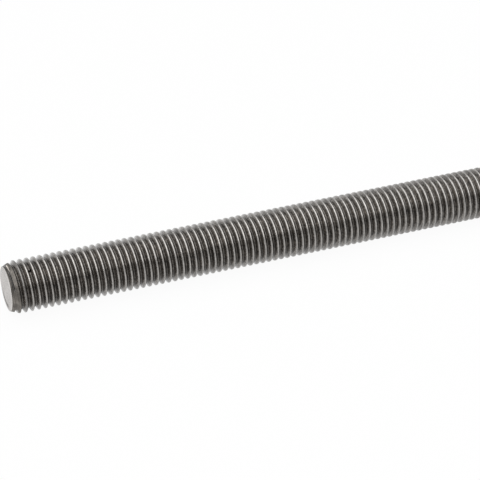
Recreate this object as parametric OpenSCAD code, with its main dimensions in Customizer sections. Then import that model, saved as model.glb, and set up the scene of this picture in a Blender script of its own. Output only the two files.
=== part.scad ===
// Threaded rod: a steel bar with a right-handed metric thread from end to end and a chamfer at each end.
// The rod lies along +X, with the centre of its near end face at the origin.

/* [Rod] */
// Length over the two end faces
rod_length = 160; // [80:1:240]
// How far the chamfer cuts in from the crests, at each end face
chamfer_depth = 1.2; // [0.6:0.05:2]
// Angle between the chamfer and the rod's axis
chamfer_angle = 22; // [15:1:45]

/* [Thread] */
// Diameter over the crests
crest_d = 15.7; // [10:0.1:24]
// Distance along the rod from one crest to the next
pitch = 2; // [1.25:0.25:3]
// Angle between the two flanks of the groove
flank_angle = 60; // [55:1:65]
// Width of the flat along the crest
crest_w = 0.33; // [0.2:0.01:0.45]
// Width of the flat along the bottom of the groove
root_w = 0.33; // [0.2:0.01:0.45]
// Where the crest line passes the near end face, as an angle from the rod's front (-Y) downwards
start_angle = 324; // [0:1:359]

/* [Hidden] */

// Blank: the plain bar with its chamfers
crest_r = crest_d / 2;
end_face_r = crest_r - chamfer_depth;
chamfer_length = chamfer_depth / tan(chamfer_angle);

// Thread section: sharp at its apex, which the blank's outside then cuts off to the crest width
flank_run = tan(flank_angle / 2);
apex_r = crest_r + crest_w / 2 / flank_run;
root_r = apex_r - (pitch - root_w) / 2 / flank_run;

// The thread runs past both end faces by more than a turn, so that its own ends are cut away
lead_turns = 1.5;
turns = ceil(rod_length / pitch) + 2;

// Flat facets stand in for the curved flanks: as many to a turn as the triangle budget allows
facet_budget = 10000;
triangles_per_step = 6;
fewest_steps = 12;
steps = max(fewest_steps, floor(facet_budget / (triangles_per_step * turns)));
last = turns * steps;

// Corners stand out by half a facet's sag, so that the facets lie about the true radius
swell = 2 / (1 + cos(180 / steps));

front_angle = 270;
blank_facets = 96;
steel = [0.43, 0.42, 0.4];

// Point on the helix of radius r that runs a distance along from the crest line, after i steps
function helix_point(r, i, along = 0) =
    let (turn = i / steps - lead_turns)
    let (angle = front_angle + start_angle + 360 * turn)
    [swell * r * cos(angle), swell * r * sin(angle), pitch * turn + along];

// The section at step i: the apex and the two edges of the root flat that follows it
function section(i) = [
    helix_point(apex_r, i),
    helix_point(root_r, i, (pitch - root_w) / 2),
    helix_point(root_r, i, (pitch + root_w) / 2),
];

// The apex line goes one turn on past the last section, to close the last groove
thread_points = concat(
    [for (i = [0:last]) each section(i)],
    [for (i = [last + 1:last + steps]) helix_point(apex_r, i)],
    [[0, 0, helix_point(apex_r, 0).z], [0, 0, helix_point(apex_r, last + steps).z]]
);

// Places in that list
function apex(i) = i <= last ? 3 * i : 2 * last + 2 + i;
function root_near(i) = 3 * i + 1;
function root_far(i) = 3 * i + 2;
near_hub = len(thread_points) - 2;
far_hub = len(thread_points) - 1;

// Two triangles between the edge from a to b at one step and the edge from c to d at the next
function strip(a, b, c, d) = [[a, b, d], [a, d, c]];

// Both flanks and the root flat, turn after turn
function groove_faces(i) = concat(
    strip(apex(i), root_near(i), apex(i + 1), root_near(i + 1)),
    strip(root_near(i), root_far(i), root_near(i + 1), root_far(i + 1)),
    strip(root_far(i), apex(i + steps), root_far(i + 1), apex(i + steps + 1))
);

// The ends: a fan over the first and the last turn, and the step that a turn leaves
near_faces = concat(
    [for (i = [0:steps - 1]) [near_hub, apex(i), apex(i + 1)]],
    [[near_hub, apex(steps), root_far(0), root_near(0), apex(0)]]
);
far_faces = concat(
    [for (i = [last:last + steps - 1]) [far_hub, apex(i + 1), apex(i)]],
    [[far_hub, apex(last), root_near(last), root_far(last), apex(last + steps)]]
);

module thread_body() {
    polyhedron(
        points = thread_points,
        faces = concat([for (i = [0:last - 1]) each groove_faces(i)], near_faces, far_faces)
    );
}

module blank() {
    rotate_extrude($fn = blank_facets)
        polygon([
            [0, 0],
            [end_face_r, 0],
            [crest_r, chamfer_length],
            [crest_r, rod_length - chamfer_length],
            [end_face_r, rod_length],
            [0, rod_length],
        ]);
}

module threaded_rod() {
    color(steel)
        rotate([0, 90, 0])
            intersection() {
                blank();
                thread_body();
            }
}

threaded_rod();
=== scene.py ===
"""Dresses the threaded rod: a rolled steel thread with worn crests and plainly cut ends, on white."""
import math

import bpy
from mathutils import Matrix, Vector


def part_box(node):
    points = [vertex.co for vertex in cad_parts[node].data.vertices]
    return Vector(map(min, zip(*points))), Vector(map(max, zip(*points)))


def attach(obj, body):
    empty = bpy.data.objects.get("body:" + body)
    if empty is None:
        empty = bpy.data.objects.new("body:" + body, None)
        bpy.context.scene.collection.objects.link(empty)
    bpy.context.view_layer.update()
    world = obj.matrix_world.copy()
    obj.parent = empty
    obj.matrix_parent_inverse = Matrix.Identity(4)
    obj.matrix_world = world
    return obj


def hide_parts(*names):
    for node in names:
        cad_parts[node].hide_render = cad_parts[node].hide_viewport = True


MM = 0.001
NODE = "threaded_rod"

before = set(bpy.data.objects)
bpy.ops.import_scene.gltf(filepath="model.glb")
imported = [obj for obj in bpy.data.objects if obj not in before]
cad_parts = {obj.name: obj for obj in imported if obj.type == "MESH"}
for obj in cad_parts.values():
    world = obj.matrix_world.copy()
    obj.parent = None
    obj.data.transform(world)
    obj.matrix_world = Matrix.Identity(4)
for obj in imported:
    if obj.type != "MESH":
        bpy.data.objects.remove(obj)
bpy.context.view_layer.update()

# Rod, from the frame, in millimetres
LOW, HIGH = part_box(NODE)
ROD_LENGTH = (HIGH.x - LOW.x) / MM
CREST_R = (HIGH.y - LOW.y) / 2 / MM

# Thread and chamfer, as the solid has them, in millimetres and degrees
PITCH = 2.0
FLANK_ANGLE = 60.0
CREST_W = 0.33
ROOT_W = 0.33
START_ANGLE = 324.0
CHAMFER_DEPTH = 1.2
CHAMFER_ANGLE = 22.0
THREAD_DEPTH = (PITCH - CREST_W - ROOT_W) / 2 / math.tan(math.radians(FLANK_ANGLE / 2))
FACE_R = CREST_R - CHAMFER_DEPTH

# Finer forms that only the mesh has, in millimetres
CREST_ROUND = 0.2
ROOT_ROUND = 0.28
RIM_ROUND = 0.1

# The near face is set a little out of square: it leans back by this much for each millimetre
LEAN_UPWARDS = 0.015
LEAN_FORWARDS = 0.012

# The first groove is pressed shut: over this arc, in degrees from the front downwards, and this far along
PRESSED_ARC = (-26.0, 36.0)
PRESSED_ARC_FADE = 12.0
PRESSED_LENGTH = 2.9
PRESSED_LENGTH_FADE = 0.3

# Fineness of the mesh
COLUMNS = 72
ARC_PARTS = 2
RIM_PARTS = 3
FACE_RINGS = 24
FACE_SECTORS = 144

# Turns that the thread runs past each end before it is cut, and millimetres that the blank stands out or in
LEAD_TURNS = 1.7
BLANK_CLEARANCE = 0.1
FAR_INSET = 0.002

# Places in the rod's list of materials; the thread's own comes first
CHAMFER_STEEL, CUT_STEEL = 1, 2
END_FACING = 0.8
HELIX_MAP = "helix"

# Levels between which noise mostly lies
NOISE_SPAN = (0.3, 0.7)

# Repeats of the patterns that follow the thread: to a turn, and to a millimetre across it
STREAK_REPEATS = (9.0, 3.2, 1.0)
WEAR_REPEATS = (14.0, 0.7, 1.0)
SCUFF_REPEATS = (7.0, 5.0, 1.0)

# Repeats of the other patterns to a metre
SPECKLE_REPEATS = 1700.0
PATCH_REPEATS = 300.0
SMUDGE_REPEATS = 600.0
GRAIN_REPEATS = 2600.0
CLOUD_REPEATS = 350.0

# Depth of the finest relief, in millimetres, and roughness of the film of oil
RELIEF = 0.02
OIL_ROUGHNESS = 0.12

# Tones of the thread from its root (0) to its crest (1): the dark roots and flanks are painted shade of the
# grooves, the bright crests their wear
THREAD_WEAR_AND_SHADE_TONES = [
    (0.0, (0.09, 0.081, 0.071)),
    (0.1, (0.094, 0.085, 0.075)),
    (0.25, (0.138, 0.125, 0.112)),
    (0.6, (0.148, 0.135, 0.121)),
    (0.8, (0.177, 0.164, 0.15)),
    (0.95, (0.348, 0.334, 0.317)),
    (1.0, (0.361, 0.347, 0.33)),
]

# Factors on those tones, from the least noise to the most
STREAK_TONES = (0.6, 1.4)
SPECKLE_TONES = (0.3, 1.7)
PATCH_TONES = (0.8, 1.2)

# Heights on the thread, from 0 to 1: out of the root, into the worn part and into the crest
ROOT_SPAN = (0.1, 0.45)
WORN_SPAN = (0.75, 0.92)
CREST_SPAN = (0.8, 0.97)
WEAR_SHIFTS = (-0.035, 0.02)
CREST_CALM = 0.75

# From the flank that faces the near end to the one that faces the far end, in millimetres from the crest;
# the far-facing flank gets painted shade and less oil
FLANK_SPAN = (-0.1, 0.3)
FAR_FLANK_PAINTED_SHADE = (1.0, 0.85)
FLANK_OIL = (0.95, 0.4)

# Roughness of the flanks and the crests, and what the roots and the streaks add
WORN_ROUGHNESS = (0.23, 0.33)
ROOT_ROUGHNESS = 0.25
STREAK_ROUGHNESS = (-0.05, 0.05)

# Along the rod, in millimetres: where dull crests end, and where the painted shade of the first groove at
# the start of the thread ends
DULL_SPAN = (4.6, 5.4)
DULL_SHARE = 0.5
START_SHADE_SPAN = (1.2, 1.7)
START_PAINTED_SHADE = 0.45

# A dark blot in one groove: its middle and half lengths, in millimetres, its edge and its tone
BLOT_PLACE = Vector((6.95, -2.55, 6.45))
BLOT_REACH = Vector((0.85, 0.5, 0.9))
BLOT_EDGE = (0.6, 1.0)
BLOT_TONE = 0.05

# A painted highlight on the chamfer where the thread starts, in the same terms
CHAMFER_HIGHLIGHT_PLACE = Vector((1.1, 0.5, 6.85))
CHAMFER_HIGHLIGHT_REACH = Vector((0.3, 2.3, 0.5))
CHAMFER_HIGHLIGHT_EDGE = (0.5, 1.0)
CHAMFER_HIGHLIGHT_TONE = 6.0

# Chamfer: tones by scuffs, factors by smudges
CHAMFER_TONES = [(0.3, (0.096, 0.089, 0.08)), (0.7, (0.246, 0.229, 0.208))]
SMUDGE_TONES = (0.7, 1.3)
CHAMFER_ROUGHNESS = 0.46

# Its upper side is dimmer, with painted shade, by these shares at the rim and beyond, in millimetres out
# from the face's edge
UPPER_SHADE_SPAN = (0.0, 2.0)
RIM_SPAN = (0.1, 0.3)
RIM_PAINTED_SHADE = (0.5, 0.2)
OUTSIDE_SPAN = (0.55, 0.9)
OUTSIDE_TONES = (1.0, 1.15)

# End faces: tones by clouds, factors by grain
FACE_TONES = [(0.3, (0.54, 0.521, 0.505)), (0.7, (0.63, 0.609, 0.59))]
GRAIN_TONES = (0.88, 1.12)
FACE_ROUGHNESS = 0.5

# A darker band inside the lower edge of the faces, and a painted highlight along the front edge, in
# millimetres out from the edge
DARK_RING_SIDE = Vector((0.0, 0.25, -0.97))
DARK_RING_START = (-2.1, -1.5)
DARK_RING_END = (-1.0, -0.45)
DARK_RING_ARC = (0.72, 0.95)
DARK_RING_SHARE = 0.6
FACE_HIGHLIGHT_SIDE = Vector((0.0, -0.98, 0.2))
FACE_HIGHLIGHT_START = (-1.7, -0.8)
FACE_HIGHLIGHT_ARC = (0.2, 0.6)
FACE_HIGHLIGHT_GAIN = 0.14

# White floor and backdrop, in millimetres, and how white they are to the eye, in mirrors and to the light
FLOOR_R = 3000.0
FLOOR_SIDES = 64
BACKDROP_HALF_W = 3000.0
BACKDROP_H = 1600.0
BACKDROP_Y = 1600.0
EYE_WHITE = 0.95
MIRROR_WHITE = 0.6
PAPER_GREY = 0.6

# Studio light: the world's grey, and a softbox that looks straight down, in millimetres
WORLD_GREY = 0.58
SOFTBOX_PLACE = Vector((ROD_LENGTH / 2 + 60, -300, 1000))
SOFTBOX_W = 2720.0
SOFTBOX_D = 2400.0
SOFTBOX_RADIANCE = 1.56

# Photograph's view, in pixels, millimetres and degrees
IMAGE_PX = 480
FOCAL_PX = 1940.3
SENSOR_MM = 36.0
CAMERA_PLACE = Vector((-98.49, -459.47, 320.12))
CAMERA_AZIMUTH = -20.437
CAMERA_ELEVATION = 33.101
CLIP_NEAR = 10.0
CLIP_FAR = 50000.0


def half_profile(half_width, radius, angle, parts):
    """Points of one rounded corner, as distances along from its middle and down from its flat."""
    tangent = radius * math.tan(angle / 2)
    points = []
    for part in range(parts + 1):
        turn = angle * part / parts
        along = half_width - tangent + radius * math.sin(turn)
        down = radius * (1 - math.cos(turn))
        points.append((along, down))
    return points


def thread_profile():
    """One pitch of the thread's section from crest to crest, as (distance along, radius)."""
    slope = math.radians(90 - FLANK_ANGLE / 2)
    crest = half_profile(CREST_W / 2, CREST_ROUND, slope, ARC_PARTS)
    root = half_profile(ROOT_W / 2, ROOT_ROUND, slope, ARC_PARTS)
    root_r = CREST_R - THREAD_DEPTH
    falling = [(along, CREST_R - down) for along, down in crest]
    floor = [(PITCH / 2 - along, root_r + down) for along, down in reversed(root)]
    half = falling + floor
    return half + [(PITCH - along, radius) for along, radius in reversed(half)]


def on_rod(x, radius, angle):
    """A point of the rod in metres; the angle goes from the front (-Y) downwards, in degrees."""
    turn = math.radians(angle)
    return Vector((x, -radius * math.cos(turn), -radius * math.sin(turn))) * MM


def smooth_step(value, low, high):
    """A smooth rise from 0 at low to 1 at high."""
    share = min(max((value - low) / (high - low), 0.0), 1.0)
    return share * share * (3 - 2 * share)


def pressed(x, angle):
    """How far the groove is pressed shut at a place near the cut end, from 0 to 1."""
    beyond = (angle - PRESSED_ARC[0]) % 360
    span = PRESSED_ARC[1] - PRESSED_ARC[0]
    rising = smooth_step(beyond, 0, PRESSED_ARC_FADE)
    falling = 1 - smooth_step(beyond, span - PRESSED_ARC_FADE, span)
    along_the_rod = 1 - smooth_step(x, PRESSED_LENGTH - PRESSED_LENGTH_FADE, PRESSED_LENGTH)
    return rising * falling * along_the_rod


def new_mesh(name, points, faces):
    mesh = bpy.data.meshes.new(name)
    mesh.from_pydata(points, [], faces)
    mesh.validate()
    mesh.update()
    return mesh


def thread_mesh():
    """A closed helical body that runs past both ends of the rod."""
    profile = thread_profile()
    rows = len(profile)
    turns = math.ceil(ROD_LENGTH / PITCH + 2 * LEAD_TURNS)
    last = turns * COLUMNS

    def section(step):
        turn = step / COLUMNS - LEAD_TURNS
        angle = START_ANGLE + 360 * turn
        places = [(PITCH * turn + along, radius) for along, radius in profile]
        return [on_rod(x, radius + (CREST_R - radius) * pressed(x, angle), angle) for x, radius in places]

    points = [point for step in range(last + 1) for point in section(step)]
    closing = [section(step)[0] for step in range(last + 1, last + COLUMNS + 1)]
    near_hub = len(points) + len(closing)
    far_hub = near_hub + 1
    hubs = [Vector((points[0].x, 0, 0)), Vector((closing[-1].x, 0, 0))]

    def place(step, row):
        if row == rows:
            step, row = step + COLUMNS, 0
        return step * rows + row if step <= last else (last + 1) * rows + step - last - 1

    faces = []
    for step in range(last):
        for row in range(rows):
            here = (place(step, row), place(step, row + 1))
            beyond = (place(step + 1, row + 1), place(step + 1, row))
            faces.append(here + beyond)
    for step in range(COLUMNS):
        faces.append((near_hub, place(step, 0), place(step + 1, 0)))
        faces.append((far_hub, place(last + step + 1, 0), place(last + step, 0)))
    faces.append((near_hub, *[place(0, row) for row in range(rows, -1, -1)]))
    faces.append((far_hub, *[place(last, row) for row in range(rows + 1)]))
    return new_mesh("thread", points + closing + hubs, faces)


def blank_rings():
    """Rings of the chamfered blank from the near face's middle to its largest radius, as (x, radius)."""
    slope = math.radians(CHAMFER_ANGLE)
    outer_r = CREST_R + BLANK_CLEARANCE
    bend = math.radians(90) - slope
    flat_r = FACE_R - RIM_ROUND * math.tan(bend / 2)
    rings = [(0.0, flat_r * ring / FACE_RINGS) for ring in range(1, FACE_RINGS + 1)]
    for part in range(1, RIM_PARTS + 1):
        turn = bend * part / RIM_PARTS
        rings.append((RIM_ROUND * (1 - math.cos(turn)), flat_r + RIM_ROUND * math.sin(turn)))
    rings.append(((outer_r - FACE_R) / math.tan(slope), outer_r))
    return rings


def leaning(x, radius, angle):
    """A point of the near face, its rim or its chamfer, set back as the face leans."""
    turn = math.radians(angle)
    lean = LEAN_FORWARDS * math.cos(turn) - LEAN_UPWARDS * math.sin(turn)
    steepest = math.hypot(LEAN_FORWARDS, LEAN_UPWARDS)
    return on_rod(x + lean * radius + steepest * FACE_R, radius, angle)


def blank_mesh():
    """The plain bar with its chamfers, cut faces and rounded rims."""
    near = blank_rings()
    far = [(ROD_LENGTH - FAR_INSET - x, radius) for x, radius in reversed(near)]
    rings = len(near) + len(far)
    angles = [360 * k / FACE_SECTORS for k in range(FACE_SECTORS)]
    points = [leaning(x, radius, angle) for x, radius in near for angle in angles]
    points += [on_rod(x, radius, angle) for x, radius in far for angle in angles]
    points += [leaning(0, 0, 0), on_rod(ROD_LENGTH - FAR_INSET, 0, 0)]
    near_hub = rings * FACE_SECTORS
    far_hub = near_hub + 1
    end = (rings - 1) * FACE_SECTORS
    faces = []
    for k in range(FACE_SECTORS):
        following = (k + 1) % FACE_SECTORS
        for ring in range(rings - 1):
            here = ring * FACE_SECTORS
            beyond = here + FACE_SECTORS
            faces.append((here + k, beyond + k, beyond + following, here + following))
        faces.append((near_hub, k, following))
        faces.append((far_hub, end + following, end + k))
    return new_mesh("blank", points, faces)


def new_object(name, mesh, *materials):
    made = bpy.data.objects.new(name, mesh)
    for material in materials:
        mesh.materials.append(material)
    bpy.context.scene.collection.objects.link(made)
    return made


def shade(mesh):
    """Smooth shading, with a hard edge where the cut meets the rolled thread."""
    mesh.shade_smooth()
    kinds = {}
    for face in mesh.polygons:
        for key in face.edge_keys:
            kinds.setdefault(key, set()).add(face.material_index)
    for edge in mesh.edges:
        edge.use_edge_sharp = len(kinds[edge.key]) > 1


def map_helix(mesh):
    """Texture coordinates that follow the thread: turns along it, and millimetres across from its crest."""
    layer = mesh.uv_layers.new(name=HELIX_MAP)
    for face in mesh.polygons:
        middle = face.center / MM
        mid_angle = math.degrees(math.atan2(-middle.z, -middle.y))
        turns = round(middle.x / PITCH - (mid_angle - START_ANGLE) / 360)
        for corner in face.loop_indices:
            point = mesh.vertices[mesh.loops[corner].vertex_index].co / MM
            swing = math.degrees(math.atan2(-point.z, -point.y)) - mid_angle
            angle = mid_angle + (swing + 180) % 360 - 180
            turn = turns + (angle - START_ANGLE) / 360
            layer.data[corner].uv = (turn, point.x - PITCH * turn)


def make_rod(*materials):
    """The rod: the helical body cut to length and chamfered by the blank."""
    rod = new_object("rolled_rod", thread_mesh(), *materials)
    blank = new_object("blank", blank_mesh(), *materials)
    for face in blank.data.polygons:
        face.material_index = CUT_STEEL if abs(face.normal.x) > END_FACING else CHAMFER_STEEL
    cut = rod.modifiers.new("cut", "BOOLEAN")
    cut.operation = "INTERSECT"
    cut.solver = "MANIFOLD"
    cut.object = blank
    graph = bpy.context.evaluated_depsgraph_get()
    rod_mesh = bpy.data.meshes.new_from_object(rod.evaluated_get(graph))
    rod.modifiers.clear()
    rod.data = rod_mesh
    bpy.data.objects.remove(blank)
    shade(rod_mesh)
    map_helix(rod_mesh)
    return rod


def metres(span, start=0.0):
    """A span in millimetres, measured from a start, in metres."""
    return [(start + value) * MM for value in span]


class Nodes:
    """Short names for building one material out of nodes."""

    def __init__(self, name):
        self.material = bpy.data.materials.new(name)
        self.material.use_nodes = True
        self.nodes = self.material.node_tree.nodes
        self.links = self.material.node_tree.links
        self.nodes.clear()

    def add(self, kind, inputs=None, **settings):
        node = self.nodes.new("ShaderNode" + kind)
        for key, value in settings.items():
            setattr(node, key, value)
        for key, value in (inputs or {}).items():
            if isinstance(value, bpy.types.NodeSocket):
                self.links.new(value, node.inputs[key])
            else:
                node.inputs[key].default_value = value
        return node

    def place(self):
        """Place on the rod, in metres."""
        return self.add("TexCoord").outputs["Object"]

    def helix(self):
        """Place along and across the thread."""
        return self.add("UVMap", uv_map=HELIX_MAP).outputs["UV"]

    def part(self, vector, axis):
        return self.add("SeparateXYZ", {0: vector}).outputs[axis]

    def noise(self, vector, scale, detail=3.0, roughness=0.6):
        inputs = {"Vector": vector, "Scale": scale, "Detail": detail, "Roughness": roughness}
        return self.add("TexNoise", inputs).outputs["Fac"]

    def helix_noise(self, helix, repeats, detail=3.0, roughness=0.6):
        """Noise that follows the thread."""
        stretched = self.add("Mapping", {"Vector": helix, "Scale": repeats}).outputs["Vector"]
        return self.noise(stretched, 1.0, detail, roughness)

    def remap(self, value, span, results):
        """Goes from the first result to the second as the value crosses the span."""
        inputs = {"Value": value, "From Min": span[0], "From Max": span[1]}
        inputs.update({"To Min": results[0], "To Max": results[1]})
        return self.add("MapRange", inputs).outputs["Result"]

    def vary(self, noise, results):
        """Goes from the first result to the second with the noise."""
        return self.remap(noise, NOISE_SPAN, results)

    def math(self, operation, first, second):
        return self.add("Math", {0: first, 1: second}, operation=operation).outputs[0]

    def product(self, first, *others):
        for other in others:
            first = self.math("MULTIPLY", first, other)
        return first

    def vector(self, operation, inputs, output):
        return self.add("VectorMath", inputs, operation=operation).outputs[output]

    def ramp(self, value, stops):
        """A ramp of colours, from (place, colour) stops."""
        node = self.add("ValToRGB", {"Fac": value})
        ends = node.color_ramp.elements
        for place, _ in stops[1:-1]:
            ends.new(place)
        for element, (place, colour) in zip(ends, stops):
            element.position = place
            element.color = (*colour, 1)
        return node.outputs["Color"]

    def radius(self, place):
        """Distance from the rod's axis, in metres."""
        off_axis = self.vector("MULTIPLY", {0: place, 1: (0.0, 1.0, 1.0)}, "Vector")
        return self.vector("LENGTH", {0: off_axis}, "Value")

    def facing(self, place, side):
        """How nearly a place on the end faces lies towards a side: 1 is straight towards it."""
        outward = self.vector("NORMALIZE", {0: place}, "Vector")
        return self.vector("DOT_PRODUCT", {0: outward, 1: side}, "Value")

    def reach(self, place, middle, half_lengths):
        """Distance from a mark's middle, where 1 is its edge; the mark's sizes are in millimetres."""
        away = self.vector("SUBTRACT", {0: place, 1: middle * MM}, "Vector")
        shares = self.vector("DIVIDE", {0: away, 1: half_lengths * MM}, "Vector")
        return self.vector("LENGTH", {0: shares}, "Value")

    def tinted(self, colour, factor):
        """A colour made lighter or darker by a factor."""
        return self.vector("SCALE", {0: colour, "Scale": factor}, "Vector")

    def metal(self, colour, roughness, height, oil=0.0):
        """The finished surface: bare metal with a fine relief, under a thin film of oil."""
        normal = self.add("Bump", {"Height": height, "Distance": RELIEF * MM}).outputs["Normal"]
        shader = self.add("BsdfPrincipled", {
            "Base Color": colour, "Metallic": 1.0, "Roughness": roughness, "Normal": normal,
            "Coat Weight": oil, "Coat Roughness": OIL_ROUGHNESS, "Coat Normal": normal,
        })
        self.add("OutputMaterial", {"Surface": shader.outputs["BSDF"]})
        return self.material


def thread_steel_material():
    """Rolled steel: crests rubbed bright, flanks and roots darkened by painted shade, with streaks that
    follow the thread; painted shade also on the flanks that face the far end and in the thread's first
    groove.
    """
    tree = Nodes("rolled_steel")
    place = tree.place()
    helix = tree.helix()
    along = tree.part(place, "X")
    across = tree.part(helix, "Y")
    streaks = tree.helix_noise(helix, STREAK_REPEATS)
    wear = tree.helix_noise(helix, WEAR_REPEATS)
    speckles = tree.noise(place, SPECKLE_REPEATS, detail=2.0, roughness=0.5)
    patches = tree.noise(place, PATCH_REPEATS, detail=2.0, roughness=0.5)

    height = tree.remap(tree.radius(place), metres((-THREAD_DEPTH, 0.0), CREST_R), (0.0, 1.0))
    worn = tree.math("ADD", height, tree.vary(wear, WEAR_SHIFTS))
    crest = tree.remap(worn, CREST_SPAN, (0.0, 1.0))

    # Painted shade: the flanks that face the far end are made darker
    far_flank_shade = tree.remap(across, FLANK_SPAN, FAR_FLANK_PAINTED_SHADE)
    mottling = (tree.vary(speckles, SPECKLE_TONES), tree.vary(patches, PATCH_TONES))
    mottled = tree.product(tree.vary(streaks, STREAK_TONES), far_flank_shade, *mottling)
    calm = tree.product(crest, CREST_CALM)
    calmed = tree.add("Mix", {"Factor": calm, "A": mottled, "B": 1.0}).outputs["Result"]
    dull = tree.product(crest, tree.remap(along, metres(DULL_SPAN), (DULL_SHARE, 0.0)))
    bright = tree.math("SUBTRACT", 1.0, dull)
    clean = tree.remap(tree.reach(place, BLOT_PLACE, BLOT_REACH), BLOT_EDGE, (BLOT_TONE, 1.0))
    # Painted shade: the thread is darker in its first groove, near the cut end
    start = tree.remap(along, metres(START_SHADE_SPAN), (START_PAINTED_SHADE, 1.0))
    # The ramp darkens the roots and flanks with painted shade of the grooves
    colour = tree.tinted(tree.ramp(worn, THREAD_WEAR_AND_SHADE_TONES), tree.product(calmed, bright, clean, start))

    streaky = tree.vary(streaks, STREAK_ROUGHNESS)
    rubbed = tree.math("ADD", tree.remap(worn, WORN_SPAN, WORN_ROUGHNESS), streaky)
    roughness = tree.math("ADD", rubbed, tree.remap(height, ROOT_SPAN, (ROOT_ROUGHNESS, 0.0)))
    oil = tree.product(tree.remap(across, FLANK_SPAN, FLANK_OIL), clean)
    return tree.metal(colour, roughness, streaks, oil)


def chamfer_steel_material():
    """The chamfer: dull steel, scuffed round the rod, with painted shade on its upper side and a painted
    highlight where the thread starts.
    """
    tree = Nodes("pressed_steel")
    place = tree.place()
    radius = tree.radius(place)
    scuffs = tree.helix_noise(tree.helix(), SCUFF_REPEATS, detail=5.0, roughness=0.65)
    smudges = tree.noise(place, SMUDGE_REPEATS)
    # Painted shade: the upper side of the chamfer is made dimmer, most near the rim
    above = tree.remap(tree.part(place, "Z"), metres(UPPER_SHADE_SPAN), (0.0, 1.0))
    upper_painted_shade = tree.product(above, tree.remap(radius, metres(RIM_SPAN, FACE_R), RIM_PAINTED_SHADE))
    bright = tree.math("SUBTRACT", 1.0, upper_painted_shade)
    outside = tree.remap(radius, metres(OUTSIDE_SPAN, FACE_R), OUTSIDE_TONES)
    # Painted highlight: a bright patch on the chamfer where the thread starts
    chamfer_highlight = tree.remap(tree.reach(place, CHAMFER_HIGHLIGHT_PLACE, CHAMFER_HIGHLIGHT_REACH), CHAMFER_HIGHLIGHT_EDGE, (CHAMFER_HIGHLIGHT_TONE, 1.0))
    factor = tree.product(tree.vary(smudges, SMUDGE_TONES), bright, outside, chamfer_highlight)
    colour = tree.tinted(tree.ramp(scuffs, CHAMFER_TONES), factor)
    return tree.metal(colour, CHAMFER_ROUGHNESS, scuffs)


def cut_steel_material():
    """The end faces: pale, grainy steel where the bar was cut, darker in a band inside the lower edge, with
    a painted highlight along the front edge.
    """
    tree = Nodes("cut_steel")
    place = tree.place()
    radius = tree.radius(place)
    grain = tree.noise(place, GRAIN_REPEATS)
    clouds = tree.noise(place, CLOUD_REPEATS, detail=4.0)
    starting = tree.remap(radius, metres(DARK_RING_START, FACE_R), (0.0, 1.0))
    ending = tree.remap(radius, metres(DARK_RING_END, FACE_R), (1.0, 0.0))
    # The faces are darker in a band inside their lower edge
    dark_ring_side = tree.remap(tree.facing(place, DARK_RING_SIDE), DARK_RING_ARC, (0.0, DARK_RING_SHARE))
    # Painted highlight: the faces are paler along their front edge
    edge = tree.remap(radius, metres(FACE_HIGHLIGHT_START, FACE_R), (0.0, 1.0))
    rubbed = tree.remap(tree.facing(place, FACE_HIGHLIGHT_SIDE), FACE_HIGHLIGHT_ARC, (0.0, FACE_HIGHLIGHT_GAIN))
    with_face_highlight = tree.math("ADD", 1.0, tree.product(edge, rubbed))
    marked = tree.math("SUBTRACT", with_face_highlight, tree.product(starting, ending, dark_ring_side))
    colour = tree.tinted(tree.ramp(clouds, FACE_TONES), tree.product(tree.vary(grain, GRAIN_TONES), marked))
    return tree.metal(colour, FACE_ROUGHNESS, grain)


def white_material():
    """White to the eye and in reflections, with a faint shadow; plain pale paper to the light."""
    tree = Nodes("white_floor")
    path = tree.add("LightPath").outputs
    mirrored = tree.math("MAXIMUM", path["Is Glossy Ray"], path["Is Transmission Ray"])
    to_eye = tree.product(path["Is Camera Ray"], EYE_WHITE)
    share = tree.math("MAXIMUM", to_eye, tree.product(mirrored, MIRROR_WHITE))
    paper = tree.add("BsdfDiffuse", {"Color": (PAPER_GREY, PAPER_GREY, PAPER_GREY, 1)}).outputs["BSDF"]
    glow = tree.add("Emission").outputs["Emission"]
    mix = tree.add("MixShader", {"Fac": share, 1: paper, 2: glow}).outputs["Shader"]
    tree.add("OutputMaterial", {"Surface": mix})
    return tree.material


def make_floor():
    turns = [2 * math.pi * k / FLOOR_SIDES for k in range(FLOOR_SIDES)]
    points = [Vector((FLOOR_R * math.cos(t), FLOOR_R * math.sin(t), -CREST_R)) * MM for t in turns]
    mesh = new_mesh("floor", points, [tuple(range(FLOOR_SIDES))])
    new_object("floor", mesh, white_material())


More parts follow.
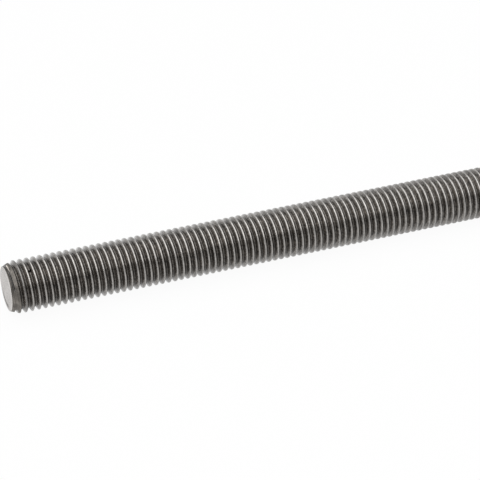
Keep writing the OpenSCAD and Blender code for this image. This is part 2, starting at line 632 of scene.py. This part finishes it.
def make_backdrop():
    half, top, bottom = BACKDROP_HALF_W, BACKDROP_H - CREST_R, -CREST_R
    corners = [(-half, bottom), (half, bottom), (half, top), (-half, top)]
    points = [Vector((x, BACKDROP_Y, z)) * MM for x, z in corners]
    mesh = new_mesh("backdrop", points, [(0, 1, 2, 3)])
    new_object("backdrop", mesh, white_material())


def make_world():
    world = bpy.data.worlds.new("studio")
    world.use_nodes = True
    background = world.node_tree.nodes["Background"]
    background.inputs["Color"].default_value = (WORLD_GREY, WORLD_GREY, WORLD_GREY, 1)
    background.inputs["Strength"].default_value = 1.0
    bpy.context.scene.world = world


def make_softbox():
    """A soft rectangular lamp overhead, which glows evenly at its radiance."""
    data = bpy.data.lights.new("overhead_softbox", "AREA")
    data.shape = "RECTANGLE"
    data.size = SOFTBOX_W * MM
    data.size_y = SOFTBOX_D * MM
    data.energy = SOFTBOX_RADIANCE * math.pi * data.size * data.size_y
    lamp = bpy.data.objects.new("overhead_softbox", data)
    lamp.location = SOFTBOX_PLACE * MM
    bpy.context.scene.collection.objects.link(lamp)


def camera_axes():
    """The camera's directions to the right, up and back."""
    azimuth = math.radians(CAMERA_AZIMUTH)
    elevation = math.radians(CAMERA_ELEVATION)
    level = math.cos(elevation)
    back = Vector((math.sin(azimuth) * level, -math.cos(azimuth) * level, math.sin(elevation)))
    right = Vector((math.cos(azimuth), math.sin(azimuth), 0))
    return right, back.cross(right), back


def make_camera():
    data = bpy.data.cameras.new("camera")
    data.sensor_width = SENSOR_MM
    data.lens = SENSOR_MM * FOCAL_PX / IMAGE_PX
    data.clip_start = CLIP_NEAR * MM
    data.clip_end = CLIP_FAR * MM
    camera = bpy.data.objects.new("camera", data)
    turn = Matrix(camera_axes()).transposed().to_4x4()
    camera.matrix_world = Matrix.Translation(CAMERA_PLACE * MM) @ turn
    bpy.context.scene.collection.objects.link(camera)
    bpy.context.scene.camera = camera


rod = make_rod(thread_steel_material(), chamfer_steel_material(), cut_steel_material())
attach(rod, "root")
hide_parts(NODE)
make_floor()
make_backdrop()
make_world()
make_softbox()
make_camera()

bpy.context.scene.view_settings.view_transform = "Standard"
